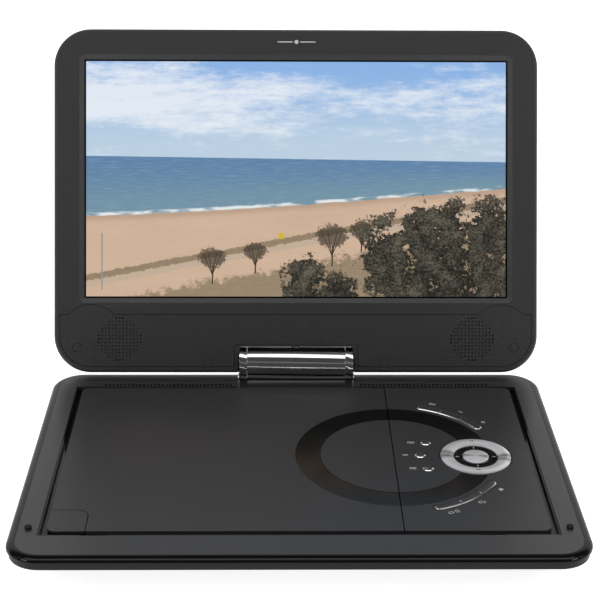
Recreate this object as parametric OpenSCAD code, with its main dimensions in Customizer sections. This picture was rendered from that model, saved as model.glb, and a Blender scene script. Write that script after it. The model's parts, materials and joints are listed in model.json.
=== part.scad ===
// Portable disc player with a swivel screen, open on a table.
// +X right, +Y towards the hinge, +Z up. The table is z = 0, and the origin is the
// bottom centre of the open player's bounding box. Base parts are drawn about the middle
// of the base, and screen parts about the middle of the hinge barrel.

/* [Base] */
// Width of the base across its glossy edge
base_w = 257; // [254:0.5:260]
// Depth of the base, front to rear
base_d = 181; // [180:0.5:182]
// Height of the deck above the table
deck_z = 24; // [24:0.1:25]
// Plan radius of the base corners
base_r = 16; // [15:0.5:17]

/* [Deck] */
// Half the width of the deck, door and control panel together
deck_x = 112; // [111.5:0.1:112.5]
// Front edge of the deck
deck_front = -68; // [-68.5:0.1:-67.5]
// Rear edge of the deck
deck_rear = 72; // [71.8:0.1:72.1]
// Width of the glossy channel round the deck
channel_w = 3.5; // [3.2:0.1:3.8]
// X of the split between the disc door and the control panel, and of the ring's centre
split_x = 46.3; // [46:0.1:46.6]

/* [Ring and keys] */
// Y of the centre of the decorative ring
ring_y = 0.6; // [0:0.1:1]
// Outer radius of the decorative ring
ring_ro = 47.5; // [46.5:0.1:48]
// Inner radius of the decorative ring
ring_ri = 35.5; // [34.5:0.1:36.5]
// X of the centre of the direction pad
pad_x = 85.9; // [85.5:0.1:86.6]
// Y of the centre of the direction pad
pad_y = -1; // [-2:0.1:-0.5]
// Outer radius of the direction pad
pad_r = 17; // [16.8:0.1:17.4]
// Radius of the middle line of the arc keys
key_r = 51.8; // [51.6:0.1:52.2]
// Width of an arc key
key_w = 4.6; // [4.2:0.1:4.8]
// Radius of a round button
round_r = 2.85; // [2.6:0.05:3]

/* [Hinge] */
// Y of the tilt axis from the middle of the base
axis_y = 85.8; // [85.6:0.1:86]
// Height of the tilt axis above the deck
axis_rise = 7.4; // [7.4:0.1:7.8]
// Radius of the hinge barrel
barrel_r = 9; // [8.8:0.1:9]
// Half the length of the barrel with its end caps
barrel_x = 30; // [30:0.1:30.5]
// How far the screen leans back from upright
lean = 23.1; // [15:0.1:30]

/* [Screen] */
// Width of the screen unit
lid_w = 256; // [255:0.5:258]
// Top edge of the screen unit, measured from the tilt axis
lid_top = 177.3; // [176.5:0.1:178]
// How far the screen unit reaches below the tilt axis
lid_low = 4.3; // [4.2:0.1:4.4]
// Thickness of the screen unit
lid_t = 12; // [12:0.1:12.2]
// Corner radius of the screen unit
lid_r = 19.5; // [19:0.1:20]
// Width of the visible picture
view_w = 222.7; // [221:0.1:223]
// Height of the visible picture
view_h = 124.6; // [124:0.1:125.3]
// Height of the picture's middle above the tilt axis
view_v = 98.2; // [98:0.1:98.6]

/* [Disc drive] */
// X of the disc spindle
disc_x = -33; // [-33.5:0.1:-32.5]
// Y of the disc spindle
disc_y = 2; // [1.5:0.1:2.5]
// Radius of the well that takes the disc
well_r = 62; // [61.5:0.1:62.2]

/* [Hidden] */
$fn = 64;
fine = 0.01;
fit = 0.05;

// Casing shells
wall = 2;
bottom_z = 1.5;
waist_z = 9;
brow_z = 18;
trim_w = 4;
trim_h = 2.6;
seam_z = deck_z - trim_h;
rim_t = 2;
rim_w = base_w - 2 * trim_w;
rim_d = base_d - 2 * trim_w;
rim_r = base_r - trim_w;
open_x = deck_x + channel_w;
open_front = deck_front - channel_w;
open_rear = deck_rear + 1.4;
recess_x = barrel_x + 1;
recess_floor = 1.6;

// Fasteners, feet and posts
boss_spots = [[-100, -77], [100, -77], [-100, 80], [100, 80], [-50, 80], [50, 80]];
boss_r = 4.8;
boss_z = 17;
screw_z = 14.5;
head_r = 2.4;
shank_r = 1;
foot_spots = [[-104, -50], [104, -50], [-104, 70], [104, 70]];
foot_r = 6;
bumper_spots = [[-120, -65.5], [120, -65.5]];
bumper_r = 1.6;
damper_spots = [for (x = [-39, 39], y = [-57, 38]) [disc_x + x, disc_y + y]];
damper_t = 1.6;
board_spots = [for (x = [56, 108], y = [-54, 58]) [x, y]];

// Door, its hinge and its latch
door_t = 1.8;
split_gap = 0.25;
door_axis = [66.5, deck_z - 3.6];
door_pin_r = 0.8;
lug_r = 1.8;
ear_r = 1.5;
tab_edge = [-95, -50.3];
tab_r = 5;
tab_t = 1.2;
stem_spot = [-103, -59];
stem_r = 2.5;
latch_y = [-61, -57];

// Disc drive
panel_t = 2.2;
ledge_z = deck_z - panel_t;
bay_z = ledge_z - 1;
bay_t = 1.4;
well_floor = 16.9;
disc_z = 18.6;
hub_r = 7.4;
chassis_z = 9;
chassis_t = 1.2;
chassis_top = chassis_z + chassis_t;
rod_z = 12.5;
rod_x = 17;
rod_r = 1.5;
rod_ends = [-68, 12];
sled_y = disc_y - 23;
sled_z = chassis_top + 0.6;
gear_n = 12;
gear_m = 1;
gear_r = gear_n * gear_m / 2;
gear_spot = [disc_x + 29, -30];
tooth_up = 0.8;
tooth_down = 1.1;
gear_shaft_r = 0.8;

// Boards, cells and sockets
board_z = 10.4;
board_top = 12;
keys_z = 17;
keys_top = 18.4;
switch_h = 1.5;
side_x = base_w / 2 - 1;
socket_z = 15;
jack_y = [-40, -26];
jack_bore_r = 1.8;
jack_nose_r = 2.6;
usb_y = -6;
card_y = 20;
dc_y = 47;
dc_nose_r = 4;
switch_y = 64;
switch_travel = 4;

// Keys
key_mid = 51.3;
key_pitch = 14.6;
key_half = key_pitch / 2 - 0.18;
key_end = asin(key_w / 2 / key_r);
round_spots = [for (a = [149.6, 177.6, 206]) [pad_x + 26.8 * cos(a), pad_y + 26.8 * sin(a)]];
pad_hole_r = pad_r + 0.6;
pad_in_r = 10.7;
pad_top = deck_z + 0.5;
ok_r = 6.3;
key_gap = 0.3;
key_top = deck_z + 0.7;
key_foot = ledge_z - 0.2;
flange_t = 0.6;
stem_foot = ledge_z - 1.2;

// Hinge
axis_z = deck_z + axis_rise;
sleeve_x = 26;
cap_in = sleeve_x + 0.1;
ball_r = norm([barrel_x, barrel_r]);
foot_y = [-3.6, 2.2];
ear_x = [27, 29];
shaft_r = 3;
pin_r = 2.6;
seat_r = ball_r + 0.3;
notch_v = barrel_r + 0.25;
notch_rim = 1.2;

// Screen unit
face = -lid_t / 2;
back = lid_t / 2;
edge_round = 1.6;
lid_h = lid_top + lid_low;
lid_mid = (lid_top - lid_low) / 2;
skin = 1.6;
face_skin = 2.2;
strip_z = [face + 0.1, face + 1.2];
strip_margin = 3.2;
strip_high = 26.3;
speaker_spots = [[-93.3, 13.5], [93.3, 13.5]];
speaker_r = 11.4;
hole_pitch = 1.85;
hole_r = 0.5;
cap_spots = [[-115.8, 9], [-46.7, 0.7], [46.7, 0.7], [115.8, 9]];
cap_r = 2.3;
glass_w = view_w + 4;
glass_h = view_h + 3;

// The middle of the base stands forward of the origin, because the screen leans back
reach = axis_y + (lid_top - edge_round) * sin(lean) + (back - edge_round) * cos(lean) + edge_round;
base_y = -(reach - base_d / 2) / 2;

// ---- Places ----

module on_base() translate([0, base_y, 0]) children();

module on_axis() translate([0, base_y + axis_y, axis_z]) children();

module on_barrel() on_axis() rotate([-lean, 0, 0]) children();

// Stands a shape up in the screen's plane: x across, y up the screen, z from front to back
module on_screen() on_barrel() rotate([90, 0, 0]) mirror([0, 0, 1]) children();

module at(spot) translate([spot[0], spot[1], 0]) children();

module on_disc() at([disc_x, disc_y]) children();

// ---- Shapes ----

module plate(w, d, r) {
    square([w - 2 * r, d], center = true);
    square([w, d - 2 * r], center = true);
    for (x = [-1, 1], y = [-1, 1]) translate([x * (w / 2 - r), y * (d / 2 - r)]) circle(r);
}

module slab(w, d, r, z0, z1) translate([0, 0, z0]) linear_extrude(z1 - z0) plate(w, d, r);

module block(x, y, z) translate([x[0], y[0], z[0]]) cube([x[1] - x[0], y[1] - y[0], z[1] - z[0]]);

module post(r, z0, z1) translate([0, 0, z0]) cylinder(r = r, h = z1 - z0);

module ring(r, hole, z0, z1) difference() {
    post(r, z0, z1);
    post(hole, z0 - 1, z1 + 1);
}

// A rod along X
module rod(r, x0, x1) translate([x0, 0, 0]) rotate([0, 90, 0]) cylinder(r = r, h = x1 - x0);

// A rod along Y
module rod_y(r, y0, y1) translate([0, y1, 0]) rotate([90, 0, 0]) cylinder(r = r, h = y1 - y0);

// Extrudes an outline drawn in the YZ plane from x0 to x1
module yz(x0, x1) translate([x0, 0, 0]) rotate([90, 0, 90]) linear_extrude(x1 - x0) children();

// Repeats a shape on the left as its mirror image
module both_sides() {
    children();
    mirror([1, 0, 0]) children();
}

// Sweeps a profile round a rounded rectangle: x is the distance out of the outline, y the height
module sweep_loop(w, d, r) for (i = [0:3]) {
    a = (i % 2 == 0 ? w : d) / 2 - r;
    b = (i % 2 == 0 ? d : w) / 2 - r;
    rotate([0, 0, 90 * i]) {
        translate([a, b, 0]) rotate_extrude(angle = 90) translate([r, 0]) children();
        translate([0, b + r, 0]) rotate([90, 0, 90]) linear_extrude(2 * a, center = true) children();
    }
}

// A bar's cross-section from z0 to z1 with a domed top; a button turns its right half
module dome(r, z0, z1, rise, from = 0) polygon(concat([[from, z0], [r, z0]],
    [for (a = [0:15:from < 0 ? 180 : 90]) [r * cos(a), z1 - rise * (1 - sin(a))]]));

// ---- Casings ----

// The boat shape of the lower casing, shrunk by t: an upright band over a raked front
module boat(t, top) hull() {
    slab(base_w - 2 - 2 * t, base_d - 2 - 2 * t, base_r - 1 - t, brow_z, top, $fn = 48);
    translate([0, 7.1, 0])
        slab(base_w - 2 - 2 * t, 164.8 - 2 * t, base_r - 1 - t, waist_z + t / 3, waist_z + 1, $fn = 48);
    translate([0, 10.25, 0])
        slab(base_w - 18 - 2 * t, 147.5 - 2 * t, 12 - t, bottom_z + t, bottom_z + t + fine, $fn = 48);
}

// The wall openings for the sockets and the power switch
module socket_holes() translate([side_x - wall - 1, 0, socket_z]) {
    for (y = jack_y) translate([0, y, 0]) rod(jack_nose_r + 0.2, 0, 6);
    translate([0, dc_y, 0]) rod(dc_nose_r + 0.2, 0, 6);
    block([0, 6], [usb_y - 7, usb_y + 7], [-3.3, 3.4]);
    block([0, 6], [card_y - 13.4, card_y + 13.4], [-3.3, 1.6]);
    block([0, 6], [switch_y - 1.9, switch_y + 1.9 + switch_travel], [-1.3, 1.3]);
}

module bottom_casing() color("#2b2b2d") on_base() difference() {
    union() {
        difference() {
            boat(0, seam_z);
            boat(wall, seam_z + 1);
        }
        intersection() {
            boat(0.5, seam_z);
            union() {
                for (s = boss_spots) at(s) post(boss_r, 0, boss_z);
                for (s = damper_spots) at(s) post(3, 0, chassis_z - damper_t);
                for (s = board_spots) at(s) post(3, 0, board_z);
            }
        }
    }
    for (s = boss_spots) at(s) {
        post(head_r + 0.5, 0, screw_z);
        post(shank_r + 0.3, 0, boss_z + 1);
    }
    socket_holes();
}

module vent_slots() both_sides() for (i = [0:33])
    block([34 + 2 * i, 35 + 2 * i], [open_rear + 0.7, open_rear + 3.3], [deck_z - 3, deck_z + 1]);

module top_casing() color("#3a3a3c") on_base() difference() {
    union() {
        slab(rim_w, rim_d, rim_r, deck_z - rim_t, deck_z);
        difference() {
            slab(rim_w, rim_d, rim_r, seam_z - 2.4, deck_z - rim_t);
            slab(rim_w - 3, rim_d - 3, rim_r - 1.5, 0, deck_z);
        }
        block([-recess_x - 1.6, recess_x + 1.6], [open_rear, rim_d / 2],
            [seam_z - recess_floor, deck_z - rim_t]);
        for (s = boss_spots) at(s) post(3, boss_z, deck_z - rim_t);
    }
    block([-open_x, open_x], [open_front, open_rear], [0, deck_z + 1]);
    block([-recess_x, recess_x], [open_rear - 1, base_d], [seam_z, deck_z + 1]);
    for (s = boss_spots) at(s) post(shank_r, 0, deck_z - 3);
    for (s = bumper_spots) at(s) post(bumper_r, deck_z - 1, deck_z + 1);
    vent_slots();
    both_sides() block([ear_x[0] - 0.2, ear_x[1] + 0.2], axis_y * [1, 1] + foot_y + [0.8, -0.8],
        [0, deck_z]);
}

// The glossy edge: an upright lip under a quarter ellipse
module edge_trim() color("#0b0b0c") on_base() difference() {
    sweep_loop(base_w, base_d, base_r) polygon(concat([[-trim_w, seam_z], [0, seam_z]],
        [for (a = [0:10:90]) [trim_w * (cos(a) - 1), deck_z - (trim_h - 0.5) * (1 - sin(a))]]));
    block([-recess_x, recess_x], [axis_y - 10, base_d], [0, deck_z + 1]);
}

module deck_surround() color("#101012") on_base() difference() {
    block([-open_x + 0.1, open_x - 0.1], [open_front + 0.1, open_rear - 0.4], [bay_z, deck_z - 0.2]);
    block([-open_x + 1, open_x - 1], [open_front + 1, open_rear], [ledge_z, deck_z]);
    block([-deck_x + 2.5, deck_x - 2.5], [deck_front + 2.5, open_rear], [0, deck_z]);
    block([-deck_x - 0.3, split_x], [62, open_rear], [0, deck_z]);
}

module rubber_feet() color("#161616") on_base() for (s = foot_spots) at(s) post(foot_r, 0, bottom_z);

module lid_bumpers() color("#161616") on_base()
    for (s = bumper_spots) at(s) post(bumper_r, deck_z - 1, deck_z + 1);

module casing_screws() color("#8d9196") on_base() for (s = boss_spots) at(s) {
    post(head_r, screw_z - 1.5, screw_z);
    post(shank_r, screw_z, deck_z - 3.5);
}

// ---- Deck ----

module deck_outline() translate([0, (deck_front + deck_rear) / 2])
    plate(2 * deck_x, deck_rear - deck_front, 4);

module ring_band(clear) translate([split_x, ring_y]) difference() {
    circle(ring_ro + clear, $fn = 128);
    circle(ring_ri - clear, $fn = 128);
}

// The outline of the release tab at the deck's front left corner, grown by clear
module tab_outline(clear) translate([tab_edge[0] - tab_r, tab_edge[1] - tab_r]) {
    translate([-40, -40]) square([40, 40 + tab_r + clear]);
    translate([-40, -40]) square([40 + tab_r + clear, 40]);
    circle(tab_r + clear);
}

function polar(r, a) = r * [cos(a), sin(a)];

// A row of three arc keys stands on each side of the X axis: side is 1 behind it and -1 in front
module on_key_row(side) translate([split_x, ring_y, 0]) mirror([0, side < 0 ? 1 : 0, 0])
    rotate([0, 0, key_mid]) children();

// The outline of a whole key row: a bar of half width w bent along the key arc, with round ends
module key_slot(w) {
    half = 1.5 * key_pitch - key_end;
    polygon(concat(
        [for (i = [-12:12]) polar(key_r + w, half * i / 12)],
        [for (a = [15:15:165]) polar(key_r, half) + polar(w, half + a)],
        [for (i = [12:-1:-12]) polar(key_r - w, half * i / 12)],
        [for (a = [195:15:345]) polar(key_r, -half) + polar(w, a - half)]));
}

module control_panel() color("#3c3c3e") on_base() difference() {
    union() {
        translate([0, 0, ledge_z]) linear_extrude(panel_t) intersection() {
            deck_outline();
            translate([split_x + split_gap, deck_front]) square([100, 200]);
        }
        block([split_x + split_gap, split_x + split_gap + 1.4], [-63, 60], [ledge_z - 3, ledge_z]);
        for (x = [54, 104], y = [-61, 60]) at([x, y]) post(2, keys_top, ledge_z);
    }
    translate([0, 0, deck_z - 1]) linear_extrude(2) ring_band(0.1);
    at([pad_x, pad_y]) post(pad_hole_r, 0, deck_z + 1);
    for (s = round_spots) at(s) post(round_r + key_gap, 0, deck_z + 1);
    for (side = [-1, 1]) on_key_row(side) linear_extrude(deck_z + 1) key_slot(key_w / 2 + key_gap);
}

module inlay() translate([0, 0, deck_z - 1]) linear_extrude(0.8) difference() {
    ring_band(0);
    translate([pad_x, pad_y]) circle(pad_hole_r);
    children();
}

module panel_ring() color("#09090a") on_base()
    inlay() translate([split_x + split_gap - 200, -100]) square(200);

module door_ring() color("#09090a") on_base()
    inlay() translate([split_x - split_gap, -100]) square(200);

// ---- Disc door and its release ----

module disc_door() color("#3c3c3e") on_base() {
    difference() {
        translate([0, 0, deck_z - door_t]) linear_extrude(door_t) difference() {
            intersection() {
                deck_outline();
                translate([-deck_x, deck_front]) square([deck_x + split_x - split_gap, 200]);
            }
            tab_outline(0.4);
        }
        translate([0, 0, deck_z - 1]) linear_extrude(2) ring_band(0.1);
    }
    block([-92.4, -90], [-62, -56], [19, deck_z - door_t]);
    translate([0, door_axis[0], door_axis[1]]) {
        for (x = [[-104.2, -101.5], [36.3, 38.7]]) {
            rod(lug_r, x[0], x[1]);
            block(x, [-lug_r, lug_r], [0, deck_z - door_t - door_axis[1]]);
        }
        rod(door_pin_r, -106.3, -101.5);
        rod(door_pin_r, 36.3, 40.8);
    }
}

module open_button() color("#3f3f41") on_base() {
    translate([0, 0, deck_z - tab_t]) linear_extrude(tab_t) intersection() {
        deck_outline();
        tab_outline(0);
    }
    at(stem_spot) post(stem_r, bay_z - bay_t, deck_z - tab_t);
}

function coil_point(r, t, turns, z0, z1) = [r * cos(360 * turns * t), r * sin(360 * turns * t),
    z0 + (z1 - z0) * t];

// A round wire of radius w coiled from z0 to z1: a ring of points at each step, then the skin
module coil(r, w, turns, z0, z1) {
    steps = 16 * turns;
    sides = 8;
    points = [for (i = [0:steps], j = [0:sides - 1])
        let (c = coil_point(r, i / steps, turns, z0 + w, z1 - w), a = 360 * turns * i / steps,
            b = 360 * j / sides)
        [c[0] + w * cos(b) * cos(a), c[1] + w * cos(b) * sin(a), c[2] + w * sin(b)]];
    skin_faces = [for (i = [0:steps - 1], j = [0:sides - 1])
        [i * sides + j, (i + 1) * sides + j, (i + 1) * sides + (j + 1) % sides,
            i * sides + (j + 1) % sides]];
    polyhedron(points, concat(skin_faces, [[for (j = [0:sides - 1]) j]],
        [[for (j = [sides - 1:-1:0]) steps * sides + j]]));
}

module open_spring() color("#b8bcc0") on_base()
    at(stem_spot) coil(3.4, 0.22, 2, bay_z, deck_z - tab_t);

module door_latch() color("#2a2a2c") on_base() {
    block([-106, -93], latch_y, [16.8, 18.2]);
    block([-95, -93], latch_y, [16.8, ledge_z - 0.3]);
}

// ---- Disc drive ----

module disc_bay() color("#202022") on_base() difference() {
    union() {
        block([-deck_x, split_x - 1.8], [deck_front, 62.5], [bay_z - bay_t, bay_z]);
        on_disc() post(well_r + bay_t, well_floor - bay_t, bay_z);
        for (x = [[-106.5, -104.5], [39, 41]]) translate([0, door_axis[0], door_axis[1]]) {
            block(x, [-7, 0], [-ear_r, ear_r]);
            rod(ear_r, x[0], x[1]);
        }
    }
    on_disc() {
        post(well_r, well_floor, deck_z);
        post(16, 0, deck_z);
        block([-11, 11], [-60.6, 0], [0, well_floor + fine]);
    }
    at(stem_spot) post(stem_r + 0.3, 0, deck_z);
    block([-98.5, -88], [-65, -53], [0, deck_z]);
    translate([0, door_axis[0], door_axis[1]]) {
        rod(door_pin_r + fit, -108, -104);
        rod(door_pin_r + fit, 38.8, 42);
    }
}

module rod_mount() block([-3, 3], [-1.8, 1.8], [chassis_top, rod_z + 2.1]);

module loader_chassis() color("#8f9296") on_base() difference() {
    union() {
        block([-78, 12], [-69, 46], [chassis_z, chassis_top]);
        for (x = [-rod_x, rod_x], y = [rod_ends[0] + 1, rod_ends[1] - 1.8])
            at([disc_x + x, y]) rod_mount();
    }
    on_disc() post(10.5, 0, deck_z);
    at(gear_spot) post(gear_shaft_r + 0.7, 0, deck_z);
    for (s = damper_spots) at(s) post(1.2, 0, deck_z);
    for (x = [-rod_x, rod_x]) translate([disc_x + x, 0, rod_z]) rod_y(rod_r, -80, 20);
}

module loader_dampers() color("#3b2f63") on_base()
    for (s = damper_spots) at(s) ring(4.2, 1.2, chassis_z - damper_t, chassis_z);

module spindle_motor() color("#5c5f63") on_base() on_disc() difference() {
    union() {
        post(10, 5.5, 14.4);
        block([-16, 16], [-4, 4], [chassis_top, chassis_top + 1]);
    }
    post(1 + fit, 8, 20);
}

module spindle_hub() color("#1b1b1d") on_base() on_disc() {
    post(1, 8.5, 15);
    post(9.5, 14.8, disc_z - 1.4);
    post(14.5, disc_z - 1.4, disc_z);
    post(hub_r, disc_z, disc_z + 1.4);
    translate([0, 0, disc_z + 1.4]) cylinder(r1 = hub_r, r2 = 5.6, h = 0.8);
}

module guide_rods() color("#c6c9cc") on_base()
    for (x = [-rod_x, rod_x]) translate([disc_x + x, 0, rod_z]) rod_y(rod_r, rod_ends[0], rod_ends[1]);

// A straight-sided tooth that points along +X, with its pitch line at x = 0
module tooth() {
    pitch_half = 0.19 * PI * gear_m;
    polygon([[-tooth_down, -pitch_half - tooth_down * tan(20)], [tooth_up, -pitch_half + tooth_up * tan(20)],
        [tooth_up, pitch_half - tooth_up * tan(20)], [-tooth_down, pitch_half + tooth_down * tan(20)]]);
}

module sled_gear() color("#e8e4d8") on_base() at(gear_spot) {
    translate([0, 0, sled_z]) linear_extrude(3) {
        circle(gear_r - tooth_down + 0.1);
        for (i = [0:gear_n - 1]) rotate(180 + 360 / gear_n * i) translate([gear_r, 0]) tooth();
    }
    post(gear_shaft_r, 5, sled_z);
}

module pickup_sled() color("#2d2d30") on_base() {
    rack_root = gear_spot[0] - gear_r - tooth_down;
    difference() {
        union() {
            block([disc_x - rod_x - 3.5, disc_x + rod_x + 3.5], [sled_y - 10, sled_y + 10],
                [sled_z, rod_z + 2.1]);
            at([disc_x, sled_y]) post(4, rod_z, 16.2);
            block([rack_root - 1.4, rack_root], [sled_y - 14, sled_y + 29], [sled_z, sled_z + 2.8]);
        }
        for (x = [-rod_x, rod_x]) translate([disc_x + x, 0, rod_z]) rod_y(rod_r + fit, -80, 20);
        at([disc_x, sled_y]) post(2.4, 15.4, 20);
    }
    translate([0, 0, sled_z]) linear_extrude(2.8) for (i = [-2:11])
        translate([rack_root + tooth_down, gear_spot[1] + (i + 0.5) * PI * gear_m]) tooth();
}

module pickup_lens() color("#9fc4dc") on_base() at([disc_x, sled_y]) {
    post(2.4, 15.4, 16.2);
    translate([0, 0, 16.2]) rotate_extrude() dome(1.9, 0, 0.7, 0.6);
}

module sled_motor() color("#b9bbbe") on_base() at(gear_spot) difference() {
    post(6.5, 3.8, chassis_z);
    post(gear_shaft_r + fit, 4.6, chassis_z + 1);
}

// ---- Boards, cells and sockets ----

module main_board() color("#1f5a3a") on_base() {
    block([50, 118], [-60, 64], [board_z, board_top]);
    block([62, 78], [-20, -4], [board_top, board_top + 1.6]);
    block([84, 95], [10, 24], [board_top, board_top + 1.2]);
    block([60, 72], [20, 26], [board_top, board_top + 1.4]);
    for (y = [-46, -34]) at([62, y]) post(3.2, board_top, board_top + 4.2);
}

module tact_switch() block([-2, 2], [-2, 2], [keys_top - 0.5, keys_top + switch_h]);

module key_board() color("#1f5a3a") on_base() {
    block([50, 108], [-66, 64], [keys_z, keys_top]);
    for (side = [-1, 1], k = [-1, 0, 1])
        on_key_row(side) rotate([0, 0, k * key_pitch]) translate([key_r, 0, 0]) tact_switch();
    for (s = round_spots) at(s) tact_switch();
    at([pad_x, pad_y]) {
        tact_switch();
        for (a = [0:90:270]) rotate([0, 0, a]) translate([13.6, 0, 0]) tact_switch();
    }
}

module battery_cells() color("#31517a") on_base()
    for (y = [[-54, 2.5], [3.5, 60]]) block([-113, -82], y, [3.8, 14.8]);

module jack_block() color("#161618") on_base() difference() {
    union() {
        block([113, side_x - wall - 0.3], [jack_y[0] - 6, jack_y[1] + 6], [board_top, board_top + 6]);
        for (y = jack_y) translate([0, y, socket_z]) rod(jack_nose_r, 120, side_x);
    }
    for (y = jack_y) translate([0, y, socket_z]) rod(jack_bore_r, side_x - 14, side_x + 1);
}

module dc_jack() color("#161618") on_base() translate([0, dc_y, 0]) {
    difference() {
        union() {
            block([113, side_x - wall - 0.3], [-5, 5], [board_top, board_top + 6.8]);
            translate([0, 0, socket_z]) rod(dc_nose_r, 120, side_x);
        }
        translate([0, 0, socket_z]) rod(2.75, side_x - 12, side_x + 1);
    }
    translate([0, 0, socket_z]) rod(0.65, side_x - 12.5, side_x - 2);
}

module usb_port() color("#c9ccd0") on_base() translate([0, usb_y, 0]) {
    difference() {
        block([112, side_x], [-6.6, 6.6], [board_top, board_top + 6]);
        block([113, side_x + 1], [-6.1, 6.1], [board_top + 0.5, board_top + 5.5]);
    }
    block([112.5, side_x - 1.2], [-5.2, 5.2], [board_top + 3.6, board_top + 5.2]);
}

module card_slot() color("#c9ccd0") on_base() translate([0, card_y, 0]) difference() {
    block([104, side_x], [-13, 13], [board_top, board_top + 4.2]);
    block([105, side_x + 1], [-12.2, 12.2], [board_top + 0.8, board_top + 3.4]);
}

module power_switch() color("#1a1a1c") on_base() translate([0, switch_y, socket_z]) {
    block([side_x + 0.3, side_x + 1], [-4.5, 3.5], [-2.5, 2.5]);
    block([side_x - 4, side_x + 0.5], [-1.5, 1.5], [-0.9, 0.9]);
    block([side_x - 6, side_x - wall - 0.3], [-3.5, 3.5], [-2.5, 2.5]);
}

// ---- Keys ----

// A domed ring: its crown lies a little outside the middle of its width
module dpad_ring() color("#c8cacd") on_base() at([pad_x, pad_y]) rotate_extrude($fn = 96)
    polygon(concat([[pad_r, ledge_z + 0.8], [pad_in_r, ledge_z + 0.8]],
        [for (i = [0:10]) let (t = i / 10, u = 2 * t - 1.1)
            [pad_in_r + t * (pad_r - pad_in_r), pad_top - 0.6 * u * u]]));

module dpad_pivot() color("#0d0d0e") on_base() at([pad_x, pad_y]) {
    ring(pad_in_r - 0.4, ok_r + 0.6, stem_foot + 0.1, deck_z - 0.3);
    ring(pad_r - 0.8, ok_r + 0.6, stem_foot + 0.1, stem_foot + 0.9);
}

module ok_button() color("#c8cacd") on_base() at([pad_x, pad_y]) {
    rotate_extrude() dome(ok_r, ledge_z - 0.8, pad_top - 0.1, 0.5);
    post(1.5, stem_foot, ledge_z - 0.8);
}

module round_button(i) color("#b9bbbe") on_base() at(round_spots[i - 1]) {
    rotate_extrude() dome(round_r, key_foot - flange_t, key_top, 0.9);
    post(round_r + 1, key_foot - flange_t, key_foot - 0.1);
    post(1.2, stem_foot, key_foot);
}

module round_button_1() round_button(1);
module round_button_2() round_button(2);
module round_button_3() round_button(3);

// Key k of a row: -1 is the one by the direction pad, and 1 the far one. Each has a round outer end.
module arc_key(side, k) color("#b9bbbe") on_base() on_key_row(side) rotate([0, 0, k * key_pitch]) {
    low = k < 0 ? -key_half + key_end : -key_half;
    high = k > 0 ? key_half - key_end : key_half;
    rotate([0, 0, low]) rotate_extrude(angle = high - low) translate([key_r, 0])
        dome(key_w / 2, key_foot - flange_t, key_top, 0.8, from = -key_w / 2);
    rotate([0, 0, low]) rotate_extrude(angle = high - low)
        translate([key_r - key_w / 2 - 0.8, key_foot - flange_t]) square([key_w + 1.6, flange_t - 0.1]);
    if (k != 0) rotate([0, 0, k < 0 ? low : high]) translate([key_r, 0, 0])
        rotate_extrude() dome(key_w / 2 - 0.02, key_foot - flange_t, key_top - 0.02, 0.8);
    translate([key_r, 0, 0]) post(1.2, stem_foot, key_foot);
}

module arc_key_1() arc_key(1, 1);
module arc_key_2() arc_key(1, 0);
module arc_key_3() arc_key(1, -1);
module arc_key_4() arc_key(-1, 1);
module arc_key_5() arc_key(-1, 0);
module arc_key_6() arc_key(-1, -1);

// ---- Hinge ----

// The outline of a bracket ear, seen from the side and grown by clear
module ear_outline(clear) {
    translate([axis_y, axis_z]) circle(4.6 + clear);
    translate([axis_y + foot_y[0] + 1 - clear, 15])
        square([foot_y[1] - foot_y[0] - 2 + 2 * clear, axis_z - 15]);
}

module hinge_bracket() color("#9a9da1") on_base() difference() {
    union() {
        block([-34, 34], [76, rim_d / 2 - 1.7], [seam_z - recess_floor - 1.8, seam_z - recess_floor]);
        both_sides() yz(ear_x[0], ear_x[1]) difference() {
            ear_outline(0);
            square([200, 2 * (seam_z - recess_floor - 1)], center = true);
        }
    }
    translate([0, axis_y, axis_z]) rod(shaft_r + fit, -40, 40);
}

// The fixed ends of the barrel: each has a foot, and an end face that is part of a ball about the
// pivot, so that the screen's notch can turn round it with a narrow even gap
module hinge_caps() color("#d4d6d9") on_base() both_sides() difference() {
    union() {
        translate([0, axis_y, axis_z]) rotate([0, 90, 0]) rotate_extrude()
            polygon(concat([[0, cap_in], [barrel_r, cap_in]],
                [for (r = [barrel_r:-1.5:0]) [r, sqrt(ball_r * ball_r - r * r)]]));
        block([cap_in, barrel_x], axis_y * [1, 1] + foot_y, [seam_z, axis_z - 4]);
    }
    yz(ear_x[0] - 0.15, ear_x[1] + 0.15) ear_outline(0.15);
    translate([0, axis_y, axis_z]) rod(shaft_r + 0.3, cap_in - 1, barrel_x - 0.5);
}

module hinge_barrel() color("#d4d6d9") on_barrel() difference() {
    rod(barrel_r, -sleeve_x, sleeve_x);
    rod(barrel_r - skin, -sleeve_x + skin, sleeve_x - skin);
    rod(shaft_r, -sleeve_x - 1, sleeve_x + 1);
    post(pin_r + 0.4, 0, barrel_r + 1);
}

module tilt_shaft() color("#a9acb0") on_barrel() rod(shaft_r, -29.2, 29.2);

module swivel_shaft() color("#a9acb0") on_barrel() difference() {
    union() {
        block([-8, 8], [-5, 5], [-5, 5]);
        post(pin_r, 4, 26);
        post(3.5, 26, 27.6);
    }
    rod(shaft_r, -10, 10);
    post(1.4, 4.2, 30);
}

module friction_washers() color("#77797c") on_barrel() both_sides()
    for (x = [10, 13, 16, 19]) difference() {
        rod(6.8, x, x + 2.4);
        rod(shaft_r, x - 1, x + 4);
    }

module swivel_bracket() color("#9a9da1") on_screen() difference() {
    union() {
        block([-30, 30], [12, 25.5], [back - skin - 1.8, back - skin]);
        block([-12, 12], [12, 25.5], [-3.7, back - skin - 1.8]);
    }
    rod_y(pin_r + fit, 10, 30);
    for (x = [-24, 24]) translate([x, 18.75, 0]) post(1.3, 0, back);
}

// ---- Screen unit ----

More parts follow.
